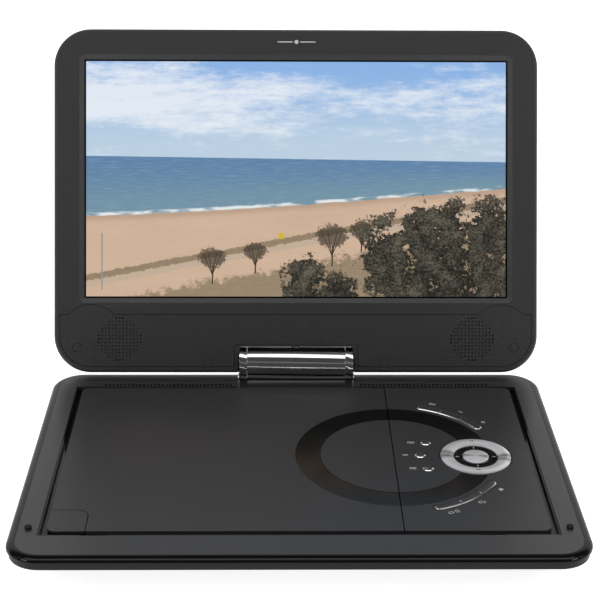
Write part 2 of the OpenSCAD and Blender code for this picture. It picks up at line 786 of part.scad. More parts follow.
// Half of the screen unit's outer shape, from the middle plane to the front (-1) or back (1),
// with its outer edge rounded
module lid_half(side) translate([0, lid_mid, 0]) mirror([0, 0, side < 0 ? 1 : 0]) {
    slab(lid_w - 6, lid_h - 6, lid_r - 3, 0, back);
    sweep_loop(lid_w, lid_h, lid_r) polygon(concat([[-4, back], [-4, 0], [0, 0]],
        [for (a = [0:15:90]) [edge_round * (cos(a) - 1), back - edge_round * (1 - sin(a))]]));
}

// What both halves lose: the notch round the hinge barrel, whose sides are a ball seat, and the
// hollow inside
module lid_hollow(z0, z1) {
    intersection() {
        sphere(seat_r);
        block([-seat_r, seat_r], [-lid_low - 2, notch_v], [face - 1, back + 1]);
    }
    rod_y(pin_r + 0.4, notch_v - 1, notch_v + 3);
    difference() {
        translate([0, lid_mid, 0]) slab(lid_w - 3.6, lid_h - 3.6, lid_r - 1.8, z0, z1);
        block([-seat_r - skin, seat_r + skin], [-lid_low - 1, notch_v + skin], [face, back]);
    }
}

// The dimpled strip along the bottom of the bezel, grown by clear
module strip_outline(clear) {
    corner_x = lid_w / 2 - lid_r;
    corner_v = lid_r - lid_low;
    r = lid_r - strip_margin + clear;
    difference() {
        union() {
            translate([-corner_x, corner_v - r]) square([2 * corner_x, strip_high + clear - corner_v + r]);
            translate([-corner_x - r, corner_v])
                square([2 * (corner_x + r), strip_high + clear - corner_v]);
            for (x = [-1, 1]) translate([x * corner_x, corner_v]) circle(r);
        }
        translate([-seat_r - notch_rim + clear, -20])
            square([2 * (seat_r + notch_rim - clear), 20 + notch_v + notch_rim - clear]);
    }
}

module screen_bezel() color("#2f2f31") on_screen() difference() {
    union() {
        difference() {
            lid_half(-1);
            lid_hollow(face + face_skin, 1);
        }
        for (s = cap_spots) at(s) post(3.4, face + face_skin, 0);
    }
    translate([0, view_v, 0]) {
        hull() {
            slab(view_w + 6.6, view_h + 6.6, 3, face - fine, face);
            slab(view_w + 1.4, view_h + 1.4, 0.8, face + 1.7, face + 1.8);
        }
        slab(glass_w + 0.6, glass_h + 0.6, 1, face + 1.7, 1);
    }
    translate([0, 0, face - 1]) linear_extrude(strip_z[1] - face + 1) strip_outline(0.25);
    for (s = speaker_spots) at(s) post(speaker_r - 0.4, face, 0);
    for (s = cap_spots) at(s) {
        post(cap_r + 0.2, face - 1, face + 2.6);
        post(shank_r + 0.2, face, 1);
    }
}

module speaker_panel() color("#2a2a2c") on_screen()
    translate([0, 0, strip_z[0]]) linear_extrude(strip_z[1] - strip_z[0]) difference() {
        strip_outline(0);
        for (s = cap_spots) translate(s) circle(cap_r + 0.2);
        for (s = speaker_spots, i = [-6:6], j = [-6:6])
            if (norm([i, j]) < 6.1) translate(s + hole_pitch * [i, j]) circle(hole_r, $fn = 16);
    }

module lcd_glass() color("#7fa8c9") on_screen() translate([0, view_v, 0])
    slab(glass_w, glass_h, 1, face + 1.8, face + 2.9);

module lcd_frame() color("#aeb1b5") on_screen() translate([0, view_v, 0])
    slab(glass_w + 3, glass_h + 3, 1.5, face + 2.9, face + 5.3);

module screen_board() color("#1f5a3a") on_screen() {
    block([-60, 60], [50, 90], [0.3, 1.7]);
    block([-20, -4], [62, 78], [1.7, 3.2]);
    block([20, 34], [58, 66], [1.7, 3]);
}

module speakers() color("#4a4c50") on_screen() for (s = speaker_spots) at(s) {
    post(speaker_r, face + 2.3, -1.5);
    post(7, -1.5, 3);
}

module screw_caps() color("#28282a") on_screen()
    for (s = cap_spots) at(s) post(cap_r, face + 0.1, face + 1);

module screen_screws() color("#8d9196") on_screen() for (s = cap_spots) at(s) {
    post(2.1, face + 1.2, face + 2.6);
    post(shank_r, face + 2.6, 3.2);
}

module screen_back_cover() color("#2b2b2d") on_screen() difference() {
    union() {
        difference() {
            lid_half(1);
            lid_hollow(-1, back - skin);
        }
        for (s = cap_spots) at(s) post(3, 0, back - skin);
    }
    for (s = cap_spots) at(s) post(shank_r, -1, 3.6);
}

bottom_casing();
top_casing();
edge_trim();
deck_surround();
control_panel();
panel_ring();
disc_bay();
loader_chassis();
loader_dampers();
spindle_motor();
guide_rods();
sled_motor();
main_board();
key_board();
battery_cells();
dc_jack();
jack_block();
usb_port();
card_slot();
rubber_feet();
lid_bumpers();
casing_screws();
hinge_bracket();
hinge_caps();
hinge_barrel();
tilt_shaft();
swivel_shaft();
friction_washers();
screen_bezel();
speaker_panel();
lcd_frame();
lcd_glass();
screen_back_cover();
screen_board();
speakers();
screw_caps();
screen_screws();
swivel_bracket();
disc_door();
door_ring();
open_button();
open_spring();
door_latch();
power_switch();
spindle_hub();
pickup_sled();
pickup_lens();
sled_gear();
dpad_pivot();
dpad_ring();
ok_button();
round_button_1();
round_button_2();
round_button_3();
arc_key_1();
arc_key_2();
arc_key_3();
arc_key_4();
arc_key_5();
arc_key_6();
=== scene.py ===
import json
import math

import bmesh
import bpy
from mathutils import Matrix, Vector


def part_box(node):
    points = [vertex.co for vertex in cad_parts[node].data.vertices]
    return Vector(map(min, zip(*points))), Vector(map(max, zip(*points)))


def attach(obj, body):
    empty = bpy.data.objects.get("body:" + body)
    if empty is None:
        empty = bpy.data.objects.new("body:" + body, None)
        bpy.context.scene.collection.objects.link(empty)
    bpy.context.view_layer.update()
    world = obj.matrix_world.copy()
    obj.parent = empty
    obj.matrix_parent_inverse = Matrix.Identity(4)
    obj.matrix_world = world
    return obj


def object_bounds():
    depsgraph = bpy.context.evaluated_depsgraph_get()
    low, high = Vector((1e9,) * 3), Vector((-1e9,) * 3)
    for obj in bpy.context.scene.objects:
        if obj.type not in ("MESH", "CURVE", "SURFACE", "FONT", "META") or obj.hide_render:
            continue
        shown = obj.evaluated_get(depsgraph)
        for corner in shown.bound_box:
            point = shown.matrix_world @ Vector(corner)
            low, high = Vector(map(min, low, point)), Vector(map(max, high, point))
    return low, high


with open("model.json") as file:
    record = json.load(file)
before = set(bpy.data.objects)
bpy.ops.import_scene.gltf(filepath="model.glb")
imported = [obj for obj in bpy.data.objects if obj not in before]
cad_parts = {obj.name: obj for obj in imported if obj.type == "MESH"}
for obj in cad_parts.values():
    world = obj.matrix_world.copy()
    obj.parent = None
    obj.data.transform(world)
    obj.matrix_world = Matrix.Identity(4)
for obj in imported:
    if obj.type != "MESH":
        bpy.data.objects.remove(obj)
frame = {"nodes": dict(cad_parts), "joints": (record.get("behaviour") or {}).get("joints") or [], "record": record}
cad_low, cad_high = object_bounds()

# The portable disc player's looks. Everything is in metres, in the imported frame.
# 1 places, 2 a small language for materials, 3 the materials, 4 printed marks and
# small mouldings, 5 edges, 6 camera, light and floor.

MM = 0.001
nodes = frame["nodes"]
joints = {j["name"]: j for j in frame["joints"]}

# ---- 1. Places ----

PIVOT = Vector(joints["screen_swivel"]["pos_m"])
LID_UP = Vector(joints["screen_swivel"]["axis"]).normalized()
ACROSS = Vector((1, 0, 0))
DEPTHWISE = Vector((0, 1, 0))
LID_FRONT = ACROSS.cross(LID_UP)


def span(node, direction):
    """Lowest and highest reach of a CAD node along a direction."""
    reach = [v.co.dot(direction) for v in nodes[node].data.vertices]
    return min(reach), max(reach)


def middle(node):
    """The middle of a CAD node's box."""
    low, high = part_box(node)
    return (Vector(low) + Vector(high)) / 2


DECK_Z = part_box("control_panel")[1][2]
PAD = middle("dpad_ring")
PAD_R = (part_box("dpad_ring")[1][0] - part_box("dpad_ring")[0][0]) / 2
RING_LOW, RING_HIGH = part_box("door_ring")
RING = Vector((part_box("control_panel")[0][0], (RING_LOW[1] + RING_HIGH[1]) / 2, DECK_Z))
RING_R = (RING_HIGH[1] - RING_LOW[1]) / 2
GLASS_U = span("lcd_glass", ACROSS)
GLASS_V = span("lcd_glass", LID_UP)

# ---- 2. A small language for materials ----


class Field:
    """A number that varies over a surface. Fields and plain numbers combine with arithmetic."""

    def __init__(self, paint, out):
        self.paint = paint
        self.out = out

    def __add__(self, other):
        return self.paint.math("ADD", self, other)

    def __sub__(self, other):
        return self.paint.math("SUBTRACT", self, other)

    def __rsub__(self, other):
        return self.paint.math("SUBTRACT", other, self)

    def __mul__(self, other):
        return self.paint.math("MULTIPLY", self, other)

    def __truediv__(self, other):
        return self.paint.math("DIVIDE", self, other)

    __radd__ = __add__
    __rmul__ = __mul__


class Paint:
    """One node material on a Principled shader, and the nodes that feed it."""

    def __init__(self, name, **settings):
        self.mat = bpy.data.materials.new(name)
        self.mat.use_nodes = True
        self.tree = self.mat.node_tree
        self.shader = self.tree.nodes["Principled BSDF"]
        self.place = self.add("ShaderNodeTexCoord").outputs["Object"]
        self.bump_chain = None
        for key, value in settings.items():
            socket = key.replace("_", " ").title().replace("Ior", "IOR")
            self.shader.inputs[socket].default_value = value

    def add(self, kind, **settings):
        node = self.tree.nodes.new(kind)
        for key, value in settings.items():
            setattr(node, key, value)
        return node

    def plug(self, socket, value):
        if isinstance(value, Field):
            value = value.out
        if isinstance(value, bpy.types.NodeSocket):
            self.tree.links.new(value, socket)
        else:
            socket.default_value = value

    def math(self, operation, *values):
        node = self.add("ShaderNodeMath", operation=operation)
        for socket, value in zip(node.inputs, values):
            self.plug(socket, value)
        return Field(self, node.outputs[0])

    def along(self, direction, start=0.0, size=1.0):
        """Distance along a direction from start, in units of size."""
        node = self.add("ShaderNodeVectorMath", operation="DOT_PRODUCT")
        self.plug(node.inputs[0], self.place)
        node.inputs[1].default_value = direction
        return (Field(self, node.outputs["Value"]) - start) / size

    def noise(self, size, detail=3.0, rough=0.5, stretch=(1, 1, 1), at=None):
        """Noise from 0 to 1 with features of that size in metres, or in units of at."""
        mapping = self.add("ShaderNodeMapping")
        self.plug(mapping.inputs["Vector"], at if at is not None else self.place)
        mapping.inputs["Scale"].default_value = [1 / (size * s) for s in stretch]
        node = self.add("ShaderNodeTexNoise")
        self.plug(node.inputs["Vector"], mapping.outputs[0])
        node.inputs["Scale"].default_value = 1.0
        node.inputs["Detail"].default_value = detail
        node.inputs["Roughness"].default_value = rough
        return Field(self, node.outputs[0])

    def point(self, x, y):
        """A place on a flat pattern."""
        node = self.add("ShaderNodeCombineXYZ")
        for socket, value in zip(node.inputs, (x, y)):
            self.plug(socket, value)
        return node.outputs[0]

    def ramp(self, value, low, high):
        """0 below low and 1 above high, smooth between; low above high turns it round."""
        node = self.add("ShaderNodeMapRange", interpolation_type="SMOOTHSTEP")
        for name, number in (("Value", value), ("From Min", low), ("From Max", high)):
            self.plug(node.inputs[name], number)
        return Field(self, node.outputs["Result"])

    def blend(self, amount, first, second):
        """The first colour where amount is 0, and the second where it is 1."""
        node = self.add("ShaderNodeMix", data_type="RGBA")
        self.plug(node.inputs["Factor"], amount)
        for socket, value in zip((node.inputs[6], node.inputs[7]), (first, second)):
            self.plug(socket, (*value, 1) if isinstance(value, tuple) else value)
        return node.outputs[2]

    def color(self, value):
        self.plug(self.shader.inputs["Base Color"], value)

    def rough(self, value):
        self.plug(self.shader.inputs["Roughness"], value)

    def bump(self, height, depth, strength=1.0):
        """Adds relief of that depth in metres on top of what is there."""
        node = self.add("ShaderNodeBump")
        node.inputs["Strength"].default_value = strength
        node.inputs["Distance"].default_value = depth
        self.plug(node.inputs["Height"], height)
        if self.bump_chain is not None:
            self.plug(node.inputs["Normal"], self.bump_chain)
        self.bump_chain = node.outputs[0]
        self.plug(self.shader.inputs["Normal"], self.bump_chain)


# ---- 3. Materials ----


def moulded(name, shade, rough, grain=0.35 * MM, depth=0.012 * MM, specular=0.35,
            tint=(1, 1, 1.03)):
    """Spark-eroded moulded plastic: fine grain, slight cloudiness, and rubbed patches that shine."""
    paint = Paint(name, specular_ior_level=specular)
    cloud = paint.noise(28 * MM, 4)
    fine = paint.noise(grain, 2, 0.6)
    rubbed = paint.ramp(paint.noise(55 * MM, 5, 0.6), 0.52, 0.75)
    dark = tuple(shade * 0.88 * t for t in tint)
    light = tuple(shade * 1.14 * t for t in tint)
    paint.color(paint.blend(cloud * 0.6 + fine * 0.4, dark, light))
    paint.rough(rough + (fine - 0.5) * 0.16 - rubbed * 0.07)
    paint.bump(fine, depth)
    paint.bump(cloud, 0.02 * MM, 0.4)
    return paint.mat


def polished(name, shade, rough, specular):
    """Polished black plastic with hairline scratches and a trace of dust."""
    paint = Paint(name, specular_ior_level=specular)
    hair = paint.noise(0.6 * MM, 3, 0.6, stretch=(14, 1, 1))
    cross = paint.noise(0.7 * MM, 3, 0.6, stretch=(1, 12, 1))
    scratch = paint.ramp(hair, 0.66, 0.78) * 0.5 + paint.ramp(cross, 0.68, 0.8) * 0.5
    dust = paint.ramp(paint.noise(0.35 * MM, 2), 0.72, 0.8)
    paint.color(paint.blend(dust * 0.12, (shade,) * 3, (0.12, 0.12, 0.12)))
    paint.rough(rough + scratch * 0.12 + dust * 0.15)
    paint.bump(paint.noise(9 * MM, 2), 0.012 * MM, 0.5)
    return paint.mat


def metal(name, shade, rough, stretch, depth=0.004 * MM):
    """Cool grey metal with fine drawn or ground lines."""
    paint = Paint(name, metallic=1.0)
    lines = paint.noise(0.25 * MM, 4, 0.65, stretch=stretch)
    stain = paint.noise(12 * MM, 4)
    tint = (1, 1, 1.02)
    dark = tuple(shade * 0.85 * t for t in tint)
    light = tuple(shade * 1.1 * t for t in tint)
    paint.color(paint.blend(lines * 0.5 + stain * 0.5, dark, light))
    paint.rough(rough + (lines - 0.5) * 0.14 + (stain - 0.5) * 0.06)
    paint.bump(lines, depth)
    return paint.mat


def spun(name, centre, shade, rough):
    """Silver paint over turned circular lines, with two dark fans of painted reflection to the sides, each crossed
    by a painted highlight line.
    """
    paint = Paint(name, metallic=0.55, anisotropic=0.7)
    x = paint.along((1, 0, 0), centre[0])
    y = paint.along((0, 1, 0), centre[1])
    radius = paint.math("SQRT", x * x + y * y)
    lines = paint.noise(0.12, 3, 0.7, at=paint.point(radius / MM, 0.0))
    slope = paint.math("ABSOLUTE", (y + x * 0.12) / (radius + 0.05 * MM))
    # Painted reflection: the colour darkens in two fans left and right of the middle, where turned metal shows
    # dark, and a painted highlight line runs along the middle of each fan.
    painted_fan_shade = paint.ramp(slope + (lines - 0.5) * 0.1, 0.34, 0.12)
    painted_highlight_line = paint.ramp(slope, 0.05, 0.0)
    silver = paint.blend(lines, (shade * 0.9,) * 3, (shade * 1.04, shade * 1.04, shade * 1.05))
    paint.color(paint.blend(painted_fan_shade * 0.7 * (1.0 - painted_highlight_line * 0.7), silver, (0.16, 0.16, 0.165)))
    paint.rough(rough + (lines - 0.5) * 0.12)
    paint.bump(lines, 0.006 * MM)
    tangent = paint.add("ShaderNodeTangent", direction_type="RADIAL", axis="Z")
    paint.plug(paint.shader.inputs["Tangent"], tangent.outputs[0])
    return paint.mat


def key_cap(name):
    """A plated key with a dark, finely ribbed film on its crown, and bright ends on the arc keys."""
    paint = Paint(name)
    height = paint.along((0, 0, 1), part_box("arc_key_1")[1][2])
    film = paint.ramp(height, -0.32 * MM, -0.20 * MM)
    x = paint.along((1, 0, 0), RING.x)
    y = paint.along((0, 1, 0), RING.y)
    angle = paint.math("ABSOLUTE", paint.math("ARCTAN2", y, x))
    corners = [v.co for v in nodes["arc_key_2"].data.vertices]
    bearings = [math.atan2(c.y - RING.y, c.x - RING.x) for c in corners if c.z > DECK_Z]
    for seam in (min(bearings), max(bearings)):
        away = paint.math("ABSOLUTE", angle - seam) * RING_R
        film = film * paint.ramp(away, 0.30 * MM, 0.45 * MM)
    ribs = paint.math("COSINE", paint.along((1, 0.15, 0), 0, 0.9 * MM / (2 * math.pi)))
    wear = paint.noise(2.5 * MM, 4)
    dark = paint.blend(ribs * 0.35 + wear * 0.5, (0.030, 0.030, 0.031), (0.075, 0.075, 0.078))
    plate = paint.blend(wear, (0.60, 0.60, 0.61), (0.72, 0.72, 0.73))
    paint.color(paint.blend(film, plate, dark))
    paint.plug(paint.shader.inputs["Metallic"], 1.0 - film * 0.8)
    paint.rough(0.14 + film * 0.26 + (wear - 0.5) * 0.06)
    paint.bump(ribs * film, 0.02 * MM)
    return paint.mat


def rubber(name, shade):
    """Soft matt rubber, a little dusty."""
    paint = Paint(name, specular_ior_level=0.2)
    fine = paint.noise(0.5 * MM, 3)
    dust = paint.ramp(paint.noise(6 * MM, 4), 0.5, 0.8)
    paint.color(paint.blend(dust * 0.5, shade, tuple(c * 1.6 + 0.01 for c in shade)))
    paint.rough(0.78 + (fine - 0.5) * 0.2)
    paint.bump(fine, 0.03 * MM)
    return paint.mat


def dimpled(name, shade):
    """The speaker strip: rows of small square dimples in the screen's plane, with painted shade in each hollow."""
    paint = Paint(name, specular_ior_level=0.35)
    pitch = 1.0 * MM
    turn = 2 * math.pi
    across = paint.math("COSINE", paint.along(ACROSS, 0, pitch / turn))
    up = paint.math("COSINE", paint.along(LID_UP, PIVOT.dot(LID_UP), pitch / turn))
    dimple = paint.ramp(across, 0.0, 0.7) * paint.ramp(up, 0.0, 0.7)
    grain = paint.noise(0.3 * MM, 2)
    # Painted shade: the colour in each hollow is darkened well below the flat between them, besides the hollow's
    # bump.
    paint.color(paint.blend(dimple, (shade * 1.15,) * 3, (shade * 0.35,) * 3))
    paint.rough(0.5 + dimple * 0.3 + (grain - 0.5) * 0.15)
    paint.bump(1.0 - dimple, 0.16 * MM)
    paint.bump(grain, 0.01 * MM)
    return paint.mat


def circuit(name):
    """Green solder resist with copper tracks under it."""
    paint = Paint(name, specular_ior_level=0.5)
    tracks = paint.math("ABSOLUTE", paint.noise(3.5 * MM, 1, 0.4, stretch=(1, 2.5, 1)) - 0.5)
    paint.color(paint.blend(paint.ramp(tracks, 0.03, 0.02), (0.008, 0.07, 0.03), (0.03, 0.17, 0.07)))
    paint.rough(0.32 + paint.noise(1 * MM, 2) * 0.15)
    paint.bump(paint.ramp(tracks, 0.03, 0.02), 0.03 * MM)
    return paint.mat


def wrap(name):
    """Shrink wrap on a cell: slightly wavy, its blue and its gloss varying along the waves."""
    paint = Paint(name, specular_ior_level=0.5)
    wave = paint.noise(9 * MM, 3, 0.5, stretch=(1, 3, 1))
    paint.color(paint.blend(wave, (0.02, 0.06, 0.15), (0.05, 0.12, 0.26)))
    paint.rough(0.28 + wave * 0.12)
    paint.bump(wave, 0.15 * MM)
    return paint.mat


def lens(name):
    """The pickup's coated lens."""
    paint = Paint(name, coat_weight=1.0, metallic=0.3)
    x = paint.along((1, 0, 0), middle("pickup_lens")[0], MM)
    y = paint.along((0, 1, 0), middle("pickup_lens")[1], MM)
    rim = paint.ramp(paint.math("SQRT", x * x + y * y), 0.4, 1.9)
    paint.color(paint.blend(rim, (0.16, 0.08, 0.35), (0.05, 0.18, 0.4)))
    paint.rough(0.05 + paint.noise(0.4 * MM, 2) * 0.05)
    return paint.mat


def picture(name):
    """The lit display: a plain beach under a streaky sky, made of a few soft shapes."""
    paint = Paint(name, specular_ior_level=0.25)
    margin_u, margin_v = 2.0 * MM, 1.5 * MM
    width = GLASS_U[1] - GLASS_U[0] - 2 * margin_u
    height = GLASS_V[1] - GLASS_V[0] - 2 * margin_v
    u = paint.along(ACROSS, GLASS_U[0] + margin_u, width)
    v = paint.along(LID_UP, GLASS_V[0] + margin_v, height)
    flat = paint.point(u * (width / height), v)

    # Sky: deep at the top, hazy at the horizon, with long clouds
    horizon = 0.598 - 0.024 * u
    sky = paint.blend(paint.ramp(v, 0.60, 0.98), (0.49, 0.62, 0.75), (0.25, 0.44, 0.76))
    streaks = paint.noise(0.30, 8, 0.62, stretch=(2.4, 0.42, 1), at=flat)
    puffs = paint.noise(0.05, 7, 0.7, stretch=(2.2, 0.8, 1), at=flat)
    bank = paint.ramp(paint.math("ABSOLUTE", v - 0.84), 0.20, 0.02) * (0.22 - 0.14 * u)
    cover = paint.ramp(streaks * 0.62 + puffs * 0.38 + bank, 0.50, 0.72)
    sky = paint.blend(cover * 0.85, sky, (0.82, 0.86, 0.91))

    # Sea: dark below the horizon, greener and paler towards the shore
    swash = (paint.noise(0.09, 3, at=flat) - 0.5) * 0.012
    shore = 0.343 + 0.118 * paint.math("POWER", u, 1.35) + swash
    depth = paint.ramp(v, shore, horizon)
    ripples = paint.noise(0.012, 3, 0.6, stretch=(6, 0.5, 1), at=flat)
    sea = paint.blend(depth, (0.165, 0.285, 0.365), (0.105, 0.215, 0.385))
    sea = paint.blend(paint.ramp(ripples, 0.42, 0.8) * 0.5, sea, (0.25, 0.38, 0.47))
    foam = paint.ramp(paint.math("ABSOLUTE", v - shore - 0.006), 0.011, 0.003)
    foam = foam * paint.ramp(paint.noise(0.03, 3, stretch=(3, 1, 1), at=flat), 0.36, 0.6)

    # Sand: pale, damp by the water, with footmarks
    marks = paint.noise(0.02, 5, 0.7, stretch=(2.2, 0.7, 1), at=flat)
    drifts = paint.noise(0.16, 4, 0.5, stretch=(2.5, 0.6, 1), at=flat)
    sand = paint.blend(marks * 0.5 + drifts * 0.5, (0.52, 0.36, 0.255), (0.70, 0.51, 0.37))
    sand = paint.blend(paint.ramp(v - shore, -0.035, -0.004) * 0.55, sand, (0.40, 0.27, 0.19))

    # A footpath with a strip of grass beside it, climbing to the right
    track = 0.055 + 0.33 * u + (paint.noise(0.3, 2, at=flat) - 0.5) * 0.03
    path = paint.ramp(paint.math("ABSOLUTE", v - track), 0.016, 0.010)
    grass_rough = paint.noise(0.018, 4, 0.7, at=flat) * 0.030
    grass = paint.ramp(paint.math("ABSOLUTE", v - track - 0.026) - grass_rough, 0.001, -0.005)
    verge = paint.ramp(track - 0.05 - v + paint.noise(0.05, 5, 0.7, at=flat) * 0.16, 0.11, 0.135)
    green = paint.blend(marks, (0.10, 0.085, 0.045), (0.26, 0.20, 0.12))
    sand = paint.blend(path * 0.7, sand, (0.50, 0.40, 0.31))
    sand = paint.blend(grass * 0.75, sand, green)
    sand = paint.blend(verge * 0.7, sand, green)

    land = paint.ramp(v - shore, 0.002, -0.002)
    scene = paint.blend(paint.ramp(v - horizon, -0.0015, 0.0015), sea, sky)
    scene = paint.blend(foam * 0.85, scene, (0.85, 0.88, 0.88))
    scene = paint.blend(land, scene, sand)

    def thin_crown(centre_u, centre_v, radius_u, radius_v):
        """An ellipse of leaves with a ragged edge."""
        x = (u - centre_u) / radius_u
        y = (v - centre_v) / radius_v
        edge = paint.noise(0.016, 6, 0.75, at=flat)
        return paint.ramp(x * x + y * y + (edge - 0.5) * 3.2, 1.0, 0.82)

    def stroke(foot_u, foot_v, top_u, top_v, thick):
        """A straight thin line from a foot to a top."""
        lean = (top_u - foot_u) / (top_v - foot_v)
        off = paint.math("ABSOLUTE", u - foot_u - (v - foot_v) * lean)
        inside = paint.ramp(v, foot_v - 0.002, foot_v) * paint.ramp(v, top_v, top_v - 0.002)
        return paint.ramp(off, thick, thick * 0.5) * inside

    # Bare young trees on the sand, each a trunk, a few limbs and a thin crown
    young_trees = ((0.30, 0.055, 0.13), (0.402, 0.10, 0.11), (0.585, 0.13, 0.15),
                   (0.655, 0.19, 0.11))
    for foot_u, foot_v, tall in young_trees:
        tree = stroke(foot_u, foot_v, foot_u + 0.002, foot_v + tall * 0.6, 0.0022)
        for side in (-1, -0.4, 0.5, 1):
            limb_top = foot_u + side * tall * 0.17
            limb = stroke(foot_u, foot_v + tall * 0.3, limb_top, foot_v + tall, 0.0016)
            tree = paint.math("MAXIMUM", tree, limb)
        crown = thin_crown(foot_u, foot_v + tall * 0.85, tall * 0.26, tall * 0.34) * 0.8
        scene = paint.blend(paint.math("MAXIMUM", tree, crown), scene, (0.045, 0.034, 0.02))

    # Pines: crowns of many ragged tufts, dark inside and lit on top
    tufts = paint.noise(0.075, 3, 0.6, at=flat)
    sprays = paint.noise(0.016, 6, 0.8, at=flat)
    crowns = None
    old_trees = ((0.86, 0.08, 0.20, 0.26), (0.715, 0.15, 0.07, 0.19), (0.80, 0.25, 0.06, 0.15),
                 (0.87, 0.31, 0.055, 0.10), (0.96, 0.27, 0.07, 0.15), (0.52, 0.06, 0.055, 0.12),
                 (0.60, 0.02, 0.06, 0.08))
    for mid_u, mid_v, wide, tall in old_trees:
        x = (u - mid_u) / wide
        y = (v - mid_v) / tall
        crown = 1.0 - x * x - y * y
        crowns = crown if crowns is None else paint.math("MAXIMUM", crowns, crown)
    crowns = crowns * 0.7 + (tufts - 0.5) * 3.2 + (sprays - 0.5) * 2.6
    pines = paint.ramp(crowns, 0.02, 0.14)
    needles = paint.ramp(paint.noise(0.010, 6, 0.8, at=flat) * 0.6 + tufts * 0.4, 0.44, 0.66)
    leaves = paint.blend(needles, (0.008, 0.009, 0.006), (0.17, 0.145, 0.105))
    scene = paint.blend(pines, scene, leaves)

    # A lamp post and a small yellow locker
    post = stroke(0.038, 0.03, 0.038, 0.27, 0.0022)
    scene = paint.blend(post, scene, (0.30, 0.30, 0.29))
    locker = stroke(0.464, 0.247, 0.464, 0.272, 0.009)
    scene = paint.blend(locker, scene, (0.62, 0.45, 0.03))

    edge_u = paint.math("ABSOLUTE", u - 0.5)
    edge_v = paint.math("ABSOLUTE", v - 0.5)
    inside = paint.ramp(edge_u, 0.5, 0.499) * paint.ramp(edge_v, 0.5, 0.499)
    scene = paint.blend(inside, (0.0, 0.0, 0.0), scene)
    paint.plug(paint.shader.inputs["Emission Color"], scene)
    paint.shader.inputs["Emission Strength"].default_value = 1.0
    paint.color(paint.blend(inside, (0.004, 0.004, 0.004), (0.010, 0.010, 0.011)))
    paint.rough(0.16 + paint.noise(4 * MM, 3) * 0.06)
    return paint.mat


FINISHES = {
    "charcoal_shell": moulded("charcoal_shell", 0.010, 0.46, specular=0.2),
    "rim_plastic": moulded("rim_plastic", 0.034, 0.36, grain=0.28 * MM, depth=0.006 * MM,
                           specular=0.5),
    "deck_plastic": moulded("deck_plastic", 0.032, 0.42, grain=0.28 * MM, depth=0.006 * MM,
                            specular=0.45),
    "gloss_black": polished("gloss_black", 0.003, 0.06, 0.2),
    "ring_gloss": polished("ring_gloss", 0.003, 0.16, 0.25),
    "bezel_plastic": moulded("bezel_plastic", 0.034, 0.44, specular=0.4),
    "dimpled_plastic": dimpled("dimpled_plastic", 0.034),
    "inner_plastic": moulded("inner_plastic", 0.014, 0.5),
    "plated_steel": metal("plated_steel", 0.52, 0.34, (1, 9, 1)),
    "bright_steel": metal("bright_steel", 0.6, 0.2, (9, 1, 1)),
    "motor_can": metal("motor_can", 0.45, 0.3, (1, 1, 6)),
    "damper_rubber": rubber("damper_rubber", (0.05, 0.025, 0.12)),
    "foot_rubber": rubber("foot_rubber", (0.012, 0.012, 0.012)),
    "board": circuit("board"),
    "cell_wrap": wrap("cell_wrap"),
    "socket_plastic": moulded("socket_plastic", 0.008, 0.4),
    "hinge_chrome": metal("hinge_chrome", 0.62, 0.09, (12, 1, 1), depth=0.0015 * MM),
    "screen_glass": picture("screen_glass"),
    "lens_glass": lens("lens_glass"),
    "gear_nylon": moulded("gear_nylon", 0.62, 0.42, tint=(1, 0.95, 0.84)),
    "pad_silver": spun("pad_silver", PAD, 0.93, 0.32),
    "key_chrome": key_cap("key_chrome"),
}

for part in frame["record"]["subparts"]:
    for holder in nodes[part["node"]].material_slots:
        holder.material = FINISHES[part["material_slot"]]

# ---- 4. Printed marks and small mouldings ----


def ink(name, shade):
    """Pad-printed ink, slightly uneven."""
    paint = Paint(name, specular_ior_level=0.3)
    patch = paint.noise(0.4 * MM, 3)
    paint.color(paint.blend(patch, (shade * 0.8,) * 3, (shade,) * 3))
    paint.rough(0.5 + (patch - 0.5) * 0.2)
    paint.bump(patch, 0.004 * MM)
    return paint.mat


WHITE_INK = ink("white_ink", 0.62)
GREY_INK = ink("grey_ink", 0.10)
PRINT = 0.02 * MM  # how thick the white ink stands


class Marks:
    """Thin prisms that stand on a plane: each outline is in millimetres about a centre on it."""

    def __init__(self, name, body, slot, material, right, up, thick):
        self.name, self.body, self.slot, self.material = name, body, slot, material
        self.right, self.up = Vector(right).normalized(), Vector(up).normalized()
        self.out = self.right.cross(self.up)
        self.thick = thick
        self.mesh = bmesh.new()

    def outline(self, centre, points, turn=0.0):
        spin = Matrix.Rotation(math.radians(turn), 2)
        ring = []
        for layer in (0.0, self.thick):
            row = []
            for p in points:
                x, y = spin @ Vector(p)
                spot = centre + (self.right * x + self.up * y) * MM + self.out * layer
                row.append(self.mesh.verts.new(spot))
            ring.append(row)
        low, high = ring
        count = len(points)
        for i in range(count):
            j = (i + 1) % count
            self.mesh.faces.new((low[i], low[j], high[j], high[i]))
        self.mesh.faces.new(high)
        self.mesh.faces.new(low[::-1])

    def bar(self, centre, x, y, wide, tall, turn=0.0):
        """A bar of that size, its middle at x, y before the turn."""
        w, t = wide / 2, tall / 2
        self.outline(centre, [(x - w, y - t), (x + w, y - t), (x + w, y + t), (x - w, y + t)], turn)

    def wedge(self, centre, x, y, size, way, turn=0.0):
        """A triangle that points along +x or -x."""
        s = size / 2
        points = [(x - s * way, y - s), (x + s * way, y), (x - s * way, y + s)]
        self.outline(centre, points if way > 0 else points[::-1], turn)

    def frame_box(self, centre, x, y, wide, tall, line, turn=0.0):
        """An open rectangle drawn with four bars."""
        for side in (-1, 1):
            self.bar(centre, x, y + side * (tall - line) / 2, wide, line, turn)
            self.bar(centre, x + side * (wide - line) / 2, y, line, tall - 2 * line, turn)

    def done(self):
        bmesh.ops.recalc_face_normals(self.mesh, faces=self.mesh.faces)
        data = bpy.data.meshes.new(self.name)
        self.mesh.to_mesh(data)
        self.mesh.free()
        data.materials.append(self.material)
        piece = bpy.data.objects.new(self.name, data)
        bpy.context.scene.collection.objects.link(piece)
        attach(piece, self.body)


